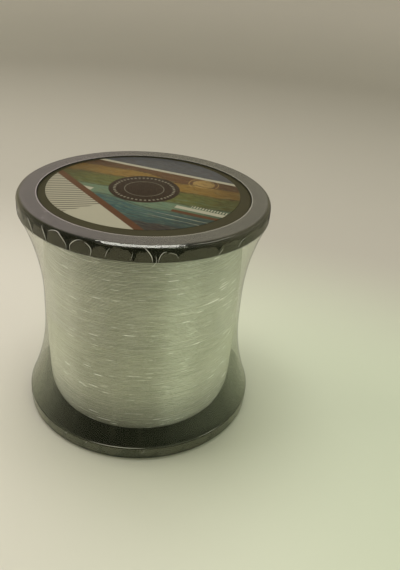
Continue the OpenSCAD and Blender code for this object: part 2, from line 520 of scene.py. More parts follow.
def film_tint(at):
    """Colour of the film's haze; on the lip it has a painted tint of the light, pinker on the
    left and greener on the right.
    """
    # painted tint of the lamps' light on the lip's haze: pinker towards -X, greener towards +X
    lip_light_tint = mix(at.x.ramp(-45 * MM, 30 * MM), (0.82, 0.73, 0.73), (0.75, 0.72, 0.60))
    tint = mix(at.upper, (0.70, 0.77, 0.55), (0.80, 0.80, 0.83))
    tint = mix(at.flare, (0.78, 0.72, 0.50), tint)
    creased = at.extra.ramp(0.05, 0.12)
    return layered(tint, [(creased, (0.84, 0.83, 0.76)), (at.lip, lip_light_tint)])


def film_clear(edge):
    """See-through film, darker where seen from the side."""
    dim = mix(edge.power(4), (0.985, 0.99, 0.98), (0.72, 0.70, 0.72))
    dim = mix(edge.ramp(0.86, 0.97), dim, (0.30, 0.28, 0.33))
    return add_node("BsdfTransparent", edge, {"Color": dim}).outputs[0]


def film_material():
    """Clear shrink film: it mirrors more the more it is seen from the side."""
    material, where, place = new_material("clear_film")
    at = film_place(where, *place)
    normal = bump(noise(where, 150, 3, stretch=(1, 1, 0.3)), 0.06 * MM)
    facing = add_node("LayerWeight", where, {"Blend": 0.5, "Normal": normal})
    edge = Value(facing.outputs["Facing"])
    milky = principled(film_tint(at), 0.45, normal)
    shine = mix(at.upper, (0.95, 1.0, 0.82), (0.97, 1.0, 0.88))
    gloss = principled(shine, 0.1, normal, Metallic=1.0)
    body = mix_shaders(film_haze(at), film_clear(edge), milky)
    return surfaced(material, mix_shaders(film_mirror(at, edge), body, gloss))


# --- paper materials

# Inks
SLATE = display(67, 64, 62)
SKY = display(78, 80, 82)
OCHRE = display(122, 96, 44)
BROWN = display(84, 57, 36)
OLIVE = display(80, 87, 45)
MIST = display(92, 115, 92)
TEAL = display(50, 83, 82)
DEEP = display(38, 56, 60)
WHITE = display(157, 154, 132)
SUN = display(150, 124, 72)
UMBER = display(46, 35, 24)

LABEL_TURN = radians(-24)  # how the print's bands lie
SEGMENT_TURN = radians(212)  # and where its pale segment is
CRISP = 0.006  # softness of a printed edge, in the sticker's radii
SUN_ALONG, SUN_ACROSS = 0.50, 0.44
# Bands of the print from the front to the back: where each starts, the softness of
# its edge, and its ink.
BANDS = ((-0.68, 0.02, TEAL), (-0.36, 0.06, MIST), (-0.14, 0.03, OLIVE),
         (0.18, 0.04, OCHRE), (0.42, 0.02, BROWN))


def label_place(where, x, y):
    """Places on the sticker, in its radii, and the noises of its print."""
    x = (x - LABEL_X) / LABEL_R
    y = (y - LABEL_Y) / LABEL_R
    along, across = turned_axes(x, y, LABEL_TURN)
    spread = noise(where, 120, 4)
    swell = across + (along * 4.2).sine() * 0.05 + (along * 9.5).sine() * 0.018 + spread * 0.05
    return SimpleNamespace(
        where=where, along=along, across=across, spread=spread, swell=swell,
        radius=distance(x, y), angle=y.angle_from(x), segment=turned_axes(x, y, SEGMENT_TURN),
        brush=noise(vector(along, across * 9, 0.0), 7, 4),
        daub=noise(vector(along, across * 3.5, 2.0), 9, 6, rough=0.65))


def label_landscape(at):
    """Bands of water, meadow and sand with their shores, and a plain sun."""
    color = mix(at.brush, DEEP, SLATE)
    color = layered(color, [(at.swell.above(start, soft), ink) for start, soft, ink in BANDS])
    sun = distance(at.along - SUN_ALONG, at.across - SUN_ACROSS)
    sky = at.swell.ramp(0.35, 0.37)
    contour = (at.swell * 46 + at.spread * 14).sine().ramp(0.93, 0.99) * at.swell.ramp(0.0, 0.05)
    crest = (at.swell * 88 + at.brush * 9).sine().ramp(0.72, 0.95)
    shores = [at.swell.between(start - 0.008, start + 0.008, 0.005) for start, _, _ in BANDS[1:]]
    return layered(color, [
        (sun.under(0.12, CRISP) * sky, SUN),
        (sun.between(0.155, 0.165, 0.004) * sky, SUN),
        *((shore * 0.6, UMBER) for shore in shores),
        (contour * 0.5, UMBER),
        (crest * at.swell.between(-0.62, 0.02, 0.05) * 0.5, MIST)])


def label_wear(color, at):
    """Brush marks and daubs over the landscape, which is darker towards the edge."""
    edge = at.radius.ramp(0.5, 1.0) * 0.42 + at.brush.ramp(0.55, 0.35) * 0.18
    return layered(color, [
        (at.brush.ramp(0.35, 0.75) * 0.3, OCHRE),
        (at.daub.ramp(0.5, 0.28) * 0.55, UMBER),
        (edge, UMBER),
        (at.daub.ramp(0.52, 0.72) * 0.4, MIST)])


def label_stripes(color, at):
    """A slate sky with a white border, gleams on the water, and stripes."""
    sky = mix(at.daub.ramp(0.35, 0.65), SLATE, SKY)
    wisp = (at.brush * 60 + at.across * 30).sine().ramp(0.8, 0.98)
    sky = mix(wisp * 0.25, sky, MIST)
    gleam = (at.across * 75 + at.brush * 1.5).sine().ramp(0.90, 0.99) * at.along.ramp(0.0, 0.5)
    notch = (at.along * 210).sine().ramp(0.0, 0.3) * at.along.ramp(0.60, 0.61)
    side = at.along.absolute().above(0.46, CRISP)
    return layered(color, [
        (at.across.above(0.58, CRISP), sky),
        (at.across.between(0.565, 0.62, CRISP), WHITE),
        (gleam * at.across.between(-0.60, -0.45, 0.02) * 0.6, WHITE),
        (at.across.between(-0.225, -0.175, 0.004) * notch, WHITE),
        (at.across.between(-0.30, -0.235, CRISP) * side, WHITE),
        (at.across.between(-0.40, -0.345, CRISP) * side, BROWN)])


def label_segment(color, at):
    """A pale segment with a brown border and a hatch."""
    out, sideways = at.segment
    inside = out.above(0.60, CRISP)
    hatch = ((sideways + out * 0.4) * 118).sine().ramp(0.1, 0.6) * sideways.under(0.16, CRISP)
    return layered(color, [
        (out.above(0.52, CRISP), BROWN),
        (inside, WHITE),
        (hatch * inside * 0.75, UMBER)])


def label_centre(color, at):
    """A dark centre with a ring of ticks and a fine ring."""
    tick = (at.angle * 44).sine().ramp(-0.15, 0.15)
    return layered(color, [
        (at.radius.under(0.37, CRISP), UMBER),
        (tick * at.radius.between(0.296, 0.322, 0.003) * 0.5, WHITE),
        (at.radius.between(0.20, 0.208, 0.002) * 0.4, WHITE)])


def upper_label_material():
    """Printed sticker: plain bands of sky, sand and water round a dark centre."""
    material, where, (x, y, _) = new_material("upper_label_paper")
    at = label_place(where, x, y)
    color = label_landscape(at)
    for part in (label_wear, label_stripes, label_segment, label_centre):
        color = part(color, at)
    normal = bump(noise(at.where, 900, 3), 0.012 * MM)
    return surfaced(material, principled(color, 0.34, normal, Specular_IOR_Level=0.14))


def lower_label_material():
    """Plain sticker: pale paper with a slate, a teal and a ticked ring."""
    material, where, (x, y, _) = new_material("lower_label_paper")
    radius = distance(x, y) / LABEL_R
    fibre = noise(where, 1500, 5)
    tick = (y.angle_from(x) * 60).sine().ramp(-0.15, 0.15)
    paper = mix(fibre, display(196, 192, 172), display(212, 208, 190))
    color = layered(paper, [
        (radius.between(0.86, 0.93, 0.004), SLATE),
        (radius.between(0.80, 0.815, 0.003), TEAL),
        (tick * radius.between(0.30, 0.335, 0.003), SLATE)])
    return surfaced(material, principled(color, 0.4, bump(fibre, 0.01 * MM)))


def tape_material():
    """Translucent adhesive tape, cloudy where it isn't quite stuck."""
    material, where, _ = new_material("tape")
    cloud = noise(where, 300, 4)
    color = mix(cloud.ramp(0.4, 0.6), (0.70, 0.69, 0.60), (0.78, 0.77, 0.69))
    return surfaced(material, principled(color, cloud * 0.2 + 0.2, bump(cloud, 0.05 * MM)))


# --- moulded pieces


def finished(piece, slot, *nodes, sharp_deg=35):
    """Shades a piece smooth but for its sharp edges, and ties it to the frame."""
    piece.data.shade_smooth()
    piece.data.set_sharp_from_angle(angle=radians(sharp_deg))
    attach(piece, "root")
    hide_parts(*nodes)


def flange_outline():
    edge = 0.25 * MM
    return rounded(on_lower_end([
        (BORE_R, DISC_DROP, edge), (BORE_R, DISC_DROP + BOSS_LEN, edge),
        (BOSS_R, DISC_DROP + BOSS_LEN, edge), (BOSS_R, RIM_H, 0),
        (SPIGOT_R - SPIGOT_WALL, RIM_H, 0), (SPIGOT_R - SPIGOT_WALL, RIM_H + SPIGOT_LEN, edge),
        (SPIGOT_R, RIM_H + SPIGOT_LEN, edge), (SPIGOT_R, RIM_H, 0),
        (FLANGE_R, RIM_H, INNER_R), (FLANGE_R, 0, CORNER_R),
        (RECESS_R, 0, 2 * edge), (RECESS_R, RIM_H - WEB_T, edge),
        (BOSS_R, RIM_H - WEB_T, edge), (BOSS_R, DISC_DROP, edge)]), steps=10)


def rib_boxes(upper):
    """A flange's ribs, as one loose object."""
    low, high = DISC_DROP + DISC_T, RIM_H - WEB_T + RIB_BITE
    near, far = BOSS_R - RIB_BITE, RECESS_R + RIB_BITE
    z = (low + high) / 2
    middle = Vector(((near + far) / 2, 0, TOP_Z - z if upper else BASE_Z + z))
    size = Matrix.Diagonal((far - near, RIB_T, high - low, 1))
    work = bmesh.new()
    for i in range(RIB_COUNT):
        turn = Matrix.Rotation(2 * pi * i / RIB_COUNT, 4, "Z")
        bmesh.ops.create_cube(work, size=1, matrix=turn @ Matrix.Translation(middle) @ size)
    mesh = bpy.data.meshes.new("ribs")
    work.to_mesh(mesh)
    work.free()
    return linked("ribs", mesh)


def add_ribs(piece, upper):
    """Makes one solid of a flange and its ribs."""
    ribs = rib_boxes(upper)
    union = piece.modifiers.new("ribs", "BOOLEAN")
    union.operation = "UNION"
    union.solver = "EXACT"
    union.object = ribs
    seen = piece.evaluated_get(bpy.context.evaluated_depsgraph_get())
    solid = bpy.data.meshes.new_from_object(seen)
    piece.modifiers.clear()
    piece.data = solid
    bpy.data.objects.remove(ribs)


def ends(stem, outline, material):
    """The same moulding at the lower and the upper end."""
    return (turned(stem + "_lower", outline, material),
            turned(stem + "_upper", mirrored_to_top(outline), material))


def build_flanges(material):
    lower, upper = ends("flange", flange_outline(), material)
    add_ribs(lower, False)
    add_ribs(upper, True)
    finished(lower, "flange_plastic", "lower_flange")
    finished(upper, "flange_plastic", "upper_flange")


def build_end_discs(material):
    edge = 0.2 * MM
    back = DISC_DROP + DISC_T
    crest = DISC_DROP - BEAD_H
    outline = rounded(on_lower_end([
        (BOSS_R + PLAY, DISC_DROP, edge), (DISC_R - BEAD_FOOT, DISC_DROP, 0.06 * MM),
        (DISC_R - BEAD_CREST, crest, 0.05 * MM), (DISC_R, crest, 0.08 * MM),
        (DISC_R, back, edge), (BOSS_R + PLAY, back, edge)]))
    lower, upper = ends("end_disc", outline, material)
    finished(lower, "disc_plastic", "lower_end_disc")
    finished(upper, "disc_plastic", "upper_end_disc")


def label_outline(inner_r, inner_edge):
    """A sticker's outline, which stands on its disc's face."""
    edge = 0.05 * MM
    face = DISC_DROP - LABEL_T
    return rounded(on_lower_end([
        (inner_r, face, inner_edge), (LABEL_R, face, edge),
        (LABEL_R, DISC_DROP, 0), (inner_r, DISC_DROP, 0)]), steps=3)


def build_labels(lower, upper):
    ring = label_outline(LABEL_HOLE_R, 0.05 * MM)
    finished(turned("label_lower", ring, lower), "lower_label_paper", "lower_label")
    disc = label_outline(0.01 * MM, 0)
    piece = turned("label_upper", mirrored_to_top(disc), upper)
    piece.data.transform(Matrix.Translation((LABEL_X, LABEL_Y, 0)))
    finished(piece, "upper_label_paper", "upper_label")


def build_barrel(material):
    edge = 0.3 * MM
    inner = BARREL_R - BARREL_WALL
    outline = rounded([(inner, WIND_LOW, edge), (BARREL_R, WIND_LOW, 0),
                       (BARREL_R, WIND_HIGH, 0), (inner, WIND_HIGH, edge)])
    finished(turned("barrel_tube", outline, material), "barrel_plastic", "barrel")


# --- line

TURNS = 145
TURN_STEPS = 112
STRAND_SIDES = 6
LINE_START = pi * 0.64  # angle round the spool at which the line starts
CROWN = 1.2 * MM
END_DROP = 2.2 * MM
END_LEN = 11 * MM
OVER = 0.35 * MM  # room for the turns that cross over the layer
CORE_STEPS = 60
CORE_SINK = LINE_D * 0.33  # how far the core lies under the outer side of the turns

# Waviness: how many waves, their fewest and most turns round the spool, how fast they
# may change with height in radians per metre and, where it is fixed, the seed.
LINE_SWAY = (14, 1, 4, 5000, 3)
LINE_LUMPS = (12, 3, 20, 6000, 4)


def wound_radius(z):
    """Radius over the outer layer at height z (an array)."""
    up = np.clip(z - WIND_LOW, 0, WIND_W)
    near = np.minimum(up, WIND_W - up)
    in_end = np.clip(1 - near / END_LEN, 0, 1)
    return WOUND_R - OVER - CROWN * (1 - 2 * near / WIND_W) ** 2 - END_DROP * in_end ** 3


def waves(angle, height, count, turns_low, turns_high, per_metre, seed):
    """Smooth seeded waviness from about -1 to 1 that closes round the spool."""
    draw = random.Random(seed)
    total = 0
    for _ in range(count):
        k = draw.randint(turns_low, turns_high)
        total = total + np.cos(k * angle + draw.uniform(-1, 1) * per_metre * height
                               + draw.uniform(0, 2 * pi))
    return total / sqrt(count)


def build_turns(material):
    """The outer layer, as one strand with its turns side by side."""
    steps = TURNS * TURN_STEPS
    angle = LINE_START + 2 * pi * np.arange(steps + 1) / TURN_STEPS
    low, high = WIND_LOW + LINE_D / 2, WIND_HIGH - LINE_D / 2
    z = np.linspace(low, high, steps + 1)
    ease = np.clip(np.minimum(z - low, high - z) / (4 * LINE_D), 0, 1)
    z = z + ease * 0.08 * MM * waves(angle, z, *LINE_SWAY)
    radius = wound_radius(z) - LINE_D / 2 + 0.012 * MM * waves(angle, z, *LINE_LUMPS)
    out = around(LINE_D / 2, angle, 0)
    up = around(0, angle, LINE_D / 2)
    strand = tube(around(radius, angle, z), out, up, STRAND_SIDES)
    layer = new_object("line_turns", *strand, material)
    finished(layer, "line", "line_outer_layer", sharp_deg=80)


def build_core(material):
    """The line under the outer layer."""
    inner = BARREL_R + PLAY
    outline = [(inner, WIND_LOW)]
    outline += [(float(wound_radius(z)) - CORE_SINK, float(z))
                for z in np.linspace(WIND_LOW, WIND_HIGH, CORE_STEPS)]
    outline += [(inner, WIND_HIGH)]
    finished(turned("line_core", outline, material), "packed_line", "line_pack")


# --- tape on the line's end

TAPE_MIDDLE = radians(205)
TAPE_LEN = 40 * MM
TAPE_W = 18 * MM
TAPE_T = 0.15 * MM
TAPE_R = WOUND_R + 0.05 * MM  # its inner side
TAPE_TEETH = 0.35 * MM
TAPE_STEPS = 60
TAPE_ROWS = 24


def build_tape(material):
    """A strip on the winding, with its ends cut in a fine zigzag."""
    row = np.arange(TAPE_ROWS + 1)[:, None]
    way = (TAPE_LEN - 2 * TAPE_TEETH * (row % 2)) * (np.arange(TAPE_STEPS + 1) / TAPE_STEPS - 0.5)
    angle = TAPE_MIDDLE + way / TAPE_R
    z = MID_Z + TAPE_W * (row / TAPE_ROWS - 0.5)
    outer, inner = [around(r, angle, z) for r in (TAPE_R + TAPE_T, TAPE_R)]
    finished(shell("tape_strip", outer, inner, material, 0), "tape", "line_end_tape")


# --- sleeve

FILM_GAP = 0.06 * MM  # from the rim to the sleeve's outer side at rest
FILM_T = 0.04 * MM
FILM_LIP = 9.1 * MM
STAND_OFF = 0.16 * MM  # how far the sleeve's slack panels stand off the rim
WAIST_LEN = 12 * MM
WAIST_GAP = 0.12 * MM  # from the winding to the tight sleeve
WAIST_SLACK = 1.1 * MM  # the sleeve is off the winding on its +X side
WAIST_EASE = 0.16 * MM  # and a little all round
FOLD_H = 0.10 * MM  # height of the sleeve's folds at the waist
FACET_START = -19  # degrees: start of the flat strip over the upper corner,
FACET_END = 15.5  # its end
FACET_TILT = 25  # and its tilt
UNSEEN = (59, 299)  # the camera sees nothing of the upper rim there (degrees)
LIP_ROWS = 5
CORNER_ROWS = 11
SIDE_ROWS = 15
LEAVE_ROWS = 4
FLARE_ROWS = 14
FILM_STEPS = 500

# Waviness, as for the line. These have no seed, as each rim has its own.
PANEL_WANDER = (10, 20, 90, 900)
LIP_WAVES = (10, 10, 60, 300)
PUCKERS = (14, 60, 160, 500)
RIPPLES = (12, 6, 40, 250)
# And these have one.
STRIP_ENDS = (8, 30, 120, 0, 15)
STRIP_TILT = (10, 20, 110, 0, 16)
WAIST_FOLDS = (12, 5, 22, 60, 77)
PLEATS = (14, 10, 60, 60, 78)
STRANDS = (14, 30, 75, 45, 79)

# Soft patches round the spool: the middle and the width in degrees, and the strength. The haze
# patches are placed by side, partly as haze and partly as painted sheen where light brightens the
# sleeve; SIDE_GLOSS sets gloss.
CORNER_HAZE_AND_SHEEN = ((44, 18, 0.03), (88, 28, 0.055), (276, 27, 0.055))
SIDE_STRAND_HAZE_AND_SHEEN = ((80, 13, 0.13), (270, 12, 0.078))
WAIST_HAZE_AND_SHEEN = ((82, 9, 0.03),)
LOW_MIST_AND_SHEEN = ((34, 20, 0.022),)
SIDE_GLOSS = ((284, 15, 0.55),)

# Slack panels of the sleeve over the upper rim: the middle and the half width in
# degrees round the spool, and the height of the panel's top in mm under the face.
UPPER_PANELS = [(-74, 13, 0.3), (-56, 4.4, 2.2), (-47.6, 4.2, 2), (-37, 5, 0.9),
                (-25.4, 4.7, 1.1), (-17.2, 3.4, 2), (-9.2, 4.6, 1.3), (-0.2, 3.4, 2.3),
                (9.6, 3.8, 2.6), (22, 9.6, 2.3), (37.6, 7.4, 2.5), (52, 8.2, 2.2)]
# Creases over each rim, as (angle in degrees, mm under the face) along each one, after
# its strength.
UPPER_CREASES = [
    (0.7, [(-56.4, 1), (-54.6, 2.6), (-53, 5), (-51.6, 7.3)]),
    (0.9, [(-45.4, 0.3), (-44.2, 2.6), (-43.2, 4.8), (-42.3, 7.4)]),
    (0.85, [(-41.6, 2.2), (-39.6, 0.9), (-37.2, 0.5), (-35.3, 0.9), (-33.5, 2.5), (-31.9, 4.6),
            (-31.7, 7.4)]),
    (0.75, [(-29.8, 7.4), (-30, 4.6), (-28.6, 2.6), (-26.6, 1.2), (-24.4, 0.8)]),
    (0.85, [(-23.6, 1.2), (-21.8, 2.2), (-20.7, 3.8), (-20.7, 5.4), (-21.2, 7.5)]),
    (0.45, [(-12.6, 1.4), (-14, 3.2), (-14.6, 4.8), (-15.2, 6.8)]),
    (0.3, [(-4.2, 2.4), (-4.6, 4.6), (-5.4, 7.2)]),
    (0.95, [(-0.6, 0.4), (0.6, 1.1), (1.9, 2.6), (2.9, 4.5), (3.4, 7.4)]),
    (0.7, [(5.2, 5.6), (4.3, 7.7), (3.4, 9.2), (2.1, 10.8)]),
    (0.4, [(17, 0.42), (22, 0.34), (28, 0.40), (35, 0.33), (43, 0.38)]),
    (0.45, [(4.3, 3.6), (4.7, 5.4), (4.6, 7.3)]),
    (0.8, [(8.8, 2.2), (7.4, 2.5), (6.3, 3.8), (5.7, 5.6), (5.5, 7.3)]),
    (0.3, [(8.4, 3.4), (9.8, 2.9), (11.8, 3.4), (13, 4.8), (13.6, 6.8)]),
    (0.45, [(33.2, 4), (31.8, 5.6), (30.3, 7.3)]),
    (0.45, [(46.4, 2.8), (43.6, 3.6), (42, 5), (40.8, 6.8)]),
]
LOWER_CREASES = [
    (0.8, [(-25, 7.45), (-17, 7.55), (-9, 7.6), (-2, 7.6), (4, 7.5)]),
    (0.6, [(-38, 5.4), (-36.6, 6.3), (-35.8, 7.4)]),
    (0.6, [(-26, 5.2), (-25, 6.2), (-24.6, 7.3)]),
    (0.4, [(1.2, 4.6), (2.4, 5.6), (2.9, 7)]),
    (0.4, [(29, 7.6), (36, 7.5), (44, 7.4)]),
]


def smooth(x, low, high):
    """0 below low, 1 above high and smooth between them."""
    t = np.clip((x - low) / (high - low), 0, 1)
    return t * t * (3 - 2 * t)


def bell(x, middle, width):
    return np.exp(-((x - middle) / width) ** 2)


def patches(degrees, places):
    """The sum of soft patches, each (middle, width, strength)."""
    return sum(strength * bell(degrees, middle, width) for middle, width, strength in places)


def more_panels(seed, start, end):
    """Seeded panels between two angles in degrees."""
    draw = random.Random(seed)
    panels = []
    angle = start
    while angle < end - 9:
        half = draw.uniform(3.2, 7.5)
        panels.append((angle + half, half, draw.uniform(0.9, 3.2)))
        angle += 2 * half + draw.uniform(0.0, 2.2)
    return panels


def more_creases(seed, panels, share):
    """Seeded creases along the sides and tops of some panels."""
    draw = random.Random(seed)
    creases = []
    for middle, half, top in panels:
        if draw.random() > share:
            continue
        side = draw.choice((-1, 1))
        lean = draw.uniform(-1.5, 1.5)
        shape = [(-draw.uniform(0.0, 0.7), 0, top), (0.55, 0, top + 0.5), (0.85, 0, top + 2.0),
                 (0.97, 0.4, top + 3.6), (0.97, 1, 7.3)]
        knots = [(middle + side * half * out + lean * lent, depth) for out, lent, depth in shape]
        creases.append((draw.uniform(0.35, 0.85), knots[draw.choice((0, 0, 2)):]))
    return creases


def panel_tops(degrees, panels):
    """Depth at which the sleeve begins to stand off the rim."""
    depth = np.full_like(degrees, 9 * MM)
    for middle, half, top in panels:
        aside = np.abs((degrees - middle + 180) % 360 - 180) / half
        depth = np.minimum(depth, (top + 4 * aside ** 5) * MM)
    return depth


def arc_row(centre, radius, a):
    """A row of the sleeve on the arc round a rim's corner, at a radians over level."""
    out, up = cos(a), sin(a)
    return centre[0] + radius * out, centre[1] + radius * up, out, up, 0


def flare_rows(corner):
    """Rows from the rim's inner corner down to the waist, which they meet smoothly."""
    hug = INNER_R + FILM_GAP
    waist_r = WOUND_R + WAIST_GAP
    waist_z = MID_Z - WAIST_LEN / 2
    leave = 0.0
    for _ in range(12):
        r, z, *_ = arc_row(corner, hug, leave)
        leave = atan(2 * (r - waist_r) / (waist_z - z))
    rows = [arc_row(corner, hug, leave * i / LEAVE_ROWS) for i in range(LEAVE_ROWS)]
    for i in range(FLARE_ROWS):
        s = 1 - (i / FLARE_ROWS) ** 1.3
        slope = 2 * (r - waist_r) * s / (waist_z - z)
        long = hypot(1, slope)
        rows.append((waist_r + (r - waist_r) * s * s, waist_z - (waist_z - z) * s,
                     1 / long, slope / long, 1 - s * s))
    return [*rows, (waist_r, waist_z, 1, 0, 1)]


def half_profile():
    """Rows of the sleeve's outer side from the lower lip to mid height.

    Each row is (radius, height, outward r, outward z, share of the waist's slack)."""
    hug = CORNER_R + FILM_GAP
    low = (FLANGE_R - CORNER_R, BASE_Z + CORNER_R)
    high = (FLANGE_R - INNER_R, WIND_LOW - INNER_R)
    rows = [(FLANGE_R - FILM_LIP + (FILM_LIP - CORNER_R) * i / LIP_ROWS, low[1] - hug, 0, -1, 0)
            for i in range(LIP_ROWS)]
    rows += [arc_row(low, hug, pi / 2 * (i / CORNER_ROWS - 1)) for i in range(CORNER_ROWS)]
    rows += [(low[0] + hug, low[1] + (high[1] - low[1]) * i / SIDE_ROWS, 1, 0, 0)
             for i in range(SIDE_ROWS)]
    return rows + flare_rows(high)


def film_rows():
    """Columns of the sleeve's rows from lip to lip; way is from the nearer lip."""
    half = half_profile()
    rows = half + [(r, BASE_Z + TOP_Z - z, nr, -nz, slack) for r, z, nr, nz, slack in half[::-1]]
    r, z, nr, nz, slack = np.array(rows).T[..., None]
    steps = np.hypot(np.diff(r, axis=0), np.diff(z, axis=0))[: len(half) - 1]
    way = np.append(0, np.cumsum(steps))[:, None]
    upper = z > MID_Z
    return SimpleNamespace(r=r, z=z, nr=nr, nz=nz, slack=slack, upper=upper,
                           depth=np.where(upper, TOP_Z - z, z - BASE_Z),
                           way=np.concatenate([way, way[::-1]]))


def sleeve_shape(angle, row, panels, seed, slackness):
    """Lift off the resting profile near one rim, and mm below the slack panels' tops."""
    depth, way = row.depth, row.way
    degrees = np.degrees(angle) + 0 * depth
    wander = waves(angle, depth, *PANEL_WANDER, seed + 5) * 0.25 * MM
    tops = panel_tops(degrees, panels) + wander
    stand = smooth(depth, 0.7 * MM, np.maximum(tops, 1.4 * MM) + 0.5 * MM)
    fade = 1 - smooth(depth, RIM_H, RIM_H + 6 * MM)
    on_lip = 1 - smooth(row.r, FLANGE_R - 2.2 * MM, FLANGE_R - 0.7 * MM)
    on_lip = on_lip * (1 - smooth(depth, 0.5 * MM, 1.5 * MM))
    lip = np.abs(waves(angle, way, *LIP_WAVES, seed + 2)) * on_lip * 0.02 * MM
    pucker = np.clip(waves(angle, way, *PUCKERS, seed), 0, None)
    pucker = pucker * bell(way, FILM_LIP - 0.6 * MM, 1.0 * MM) * 0.03 * MM
    pucker = pucker * (1 - 0.6 * taut_corner(angle))
    ripple = waves(angle, way, *RIPPLES, seed + 1) * 0.02 * MM
    lift = STAND_OFF * slackness * stand * fade + lip + pucker
    return lift + ripple * smooth(depth, 1 * MM, 3 * MM), (depth - tops) / MM


def taut_corner(angle):
    """1 where the sleeve is drawn flat over the upper rim's front corner, else 0."""
    degrees = (np.degrees(angle) + 180) % 360 - 180 + waves(angle, 0, *STRIP_ENDS)
    front = smooth(degrees, FACET_START - 1, FACET_START + 1)
    return front * (1 - smooth(degrees, FACET_END - 1, FACET_END + 1))


def corner_facet(angle, row):
    """Lift that draws the sleeve flat and taut over the upper rim's front corner."""
    tilt = np.arctan2(row.nr, np.abs(row.nz))
    flat = np.radians(FACET_TILT + 4 * waves(angle, row.depth, *STRIP_TILT))
    hull = np.minimum(1 / np.cos(tilt), 1 / np.cos(np.minimum(np.abs(tilt - flat), 1.3)))
    hull = np.minimum(hull, 1 / np.cos(pi / 2 - tilt))
    on_corner = row.upper * (row.depth < CORNER_R)
    return taut_corner(angle) * (hull - 1) * (CORNER_R + FILM_GAP) * on_corner


def film_marks(angle, row):
    """Extra haze of the sleeve's pleats and drawn strands, and haze patches placed by side that
    are partly painted sheen.
    """
    degrees = np.degrees(angle)
    pleats = np.clip(waves(angle, row.z, *PLEATS) - 0.4, 0, None)
    strands = np.clip(waves(angle, row.z, *STRANDS) - 0.2, 0, None)
    strands = strands * smooth(row.depth, RIM_H, RIM_H + 5 * MM)
    # haze over the upper corner, placed by side: partly haze, partly painted sheen
    corner_haze_and_sheen = smooth(row.r, FLANGE_R - 2.3 * MM, FLANGE_R - 1.1 * MM)
    corner_haze_and_sheen = row.upper * corner_haze_and_sheen * (1 - smooth(row.depth, 1.4 * MM, 4.5 * MM))
    low = (1 - row.upper) * smooth(row.depth, RIM_H, RIM_H + 3 * MM)
    low = low * (1 - smooth(row.depth, RIM_H + 14 * MM, RIM_H + 26 * MM))
    return (row.slack * (0.03 * pleats + patches(degrees, WAIST_HAZE_AND_SHEEN))
            + strands * patches(degrees, SIDE_STRAND_HAZE_AND_SHEEN)
            + corner_haze_and_sheen * patches(degrees, CORNER_HAZE_AND_SHEEN) + low * patches(degrees, LOW_MIST_AND_SHEEN))


def build_film(material, lower_panels, upper_panels):
    """The sleeve, with the numbers at its points that its material reads."""
    row = film_rows()
    angle = (2 * pi * np.arange(FILM_STEPS) / FILM_STEPS)[None, :]
    ends = [sleeve_shape(angle, row, *shape)
            for shape in ((lower_panels, 31, 0.3), (upper_panels, 11, 1.0))]
    off, below = [np.where(row.upper, high, low) for low, high in zip(*ends)]
    off = np.clip(off, -0.01 * MM, FILM_R - FLANGE_R - FILM_GAP) + corner_facet(angle, row)
    slack = WAIST_SLACK * (0.5 + 0.5 * np.sin(angle)) ** 2 + WAIST_EASE
    off = off + row.slack * (slack + FOLD_H * waves(angle, row.z, *WAIST_FOLDS))
    outer, inner = [around(row.r + row.nr * lift, angle, row.z + row.nz * lift)
                    for lift in (off, off - FILM_T)]
    film = shell("film_sleeve", outer, inner, material, 1)
    taut = row.upper * (taut_corner(angle) + patches(np.degrees(angle), SIDE_GLOSS))
    store(film, haze=film_marks(angle, row), below=below, taut=taut)
    finished(film, "clear_film", "shrink_film", sharp_deg=80)


def store(piece, **layers):
    """Keeps numbers at the points of a piece's mesh; fewer numbers are repeated."""
    for name, numbers in layers.items():
        layer = piece.data.attributes.new(name, "FLOAT", "POINT")
        numbers = np.resize(numbers, len(piece.data.vertices))
        layer.data.foreach_set("value", numbers.astype(np.float32))


# --- creases

CREASE_W = 0.12 * MM  # half width of a crease
CREASE_H = 0.10 * MM  # height of a crease over the sleeve
CREASE_SIDES = 8
CREASE_STEPS = 5  # from one knot to the next
CREASE_HAZE = 0.9
IN_PANEL = 5.0  # mm below a panel's top, so a crease doesn't cling


def curve_through(knots):
    """Points on a smooth curve through the knots."""
    knots = np.array([2 * knots[0] - knots[1], *knots, 2 * knots[-1] - knots[-2]])
    points = []
    for a, b, c, d in zip(knots, knots[1:], knots[2:], knots[3:]):
        for k in range(CREASE_STEPS):
            t = k / CREASE_STEPS
            points.append(0.5 * (2 * b + (c - a) * t + (2 * a - 5 * b + 4 * c - d) * t * t
                                 + (3 * b - a - 3 * c + d) * t ** 3))
    points.append(knots[-2])
    return np.array(points)


def crease(strength, knots, upper, profile):
    """Points, faces and haze of one ridge that tapers at both ends."""
    path = curve_through(np.array(knots, dtype=float))
    angle = np.radians(path[:, 0])
    depth = path[:, 1] * MM
    radius = np.interp(depth, *profile) + STAND_OFF * smooth(depth, 0, 1.4 * MM)
    radius = np.minimum(radius, FILM_R - CREASE_H - 0.01 * MM)
    out = around(1, angle, 0)
    middle = around(radius, angle, TOP_Z - depth if upper else BASE_Z + depth)
    aside = np.cross(np.gradient(middle, axis=0), out)
    aside /= np.linalg.norm(aside, axis=1)[:, None]
    taper = np.sqrt(np.clip(np.sin(pi * np.linspace(0, 1, len(path))), 0.02, 1))[:, None]
    width = CREASE_W * (0.6 + 0.5 * strength) * taper
    points, faces = tube(middle, width * aside, CREASE_H * taper * out, CREASE_SIDES)
    return points, faces, np.repeat(CREASE_HAZE * strength * taper, CREASE_SIDES)


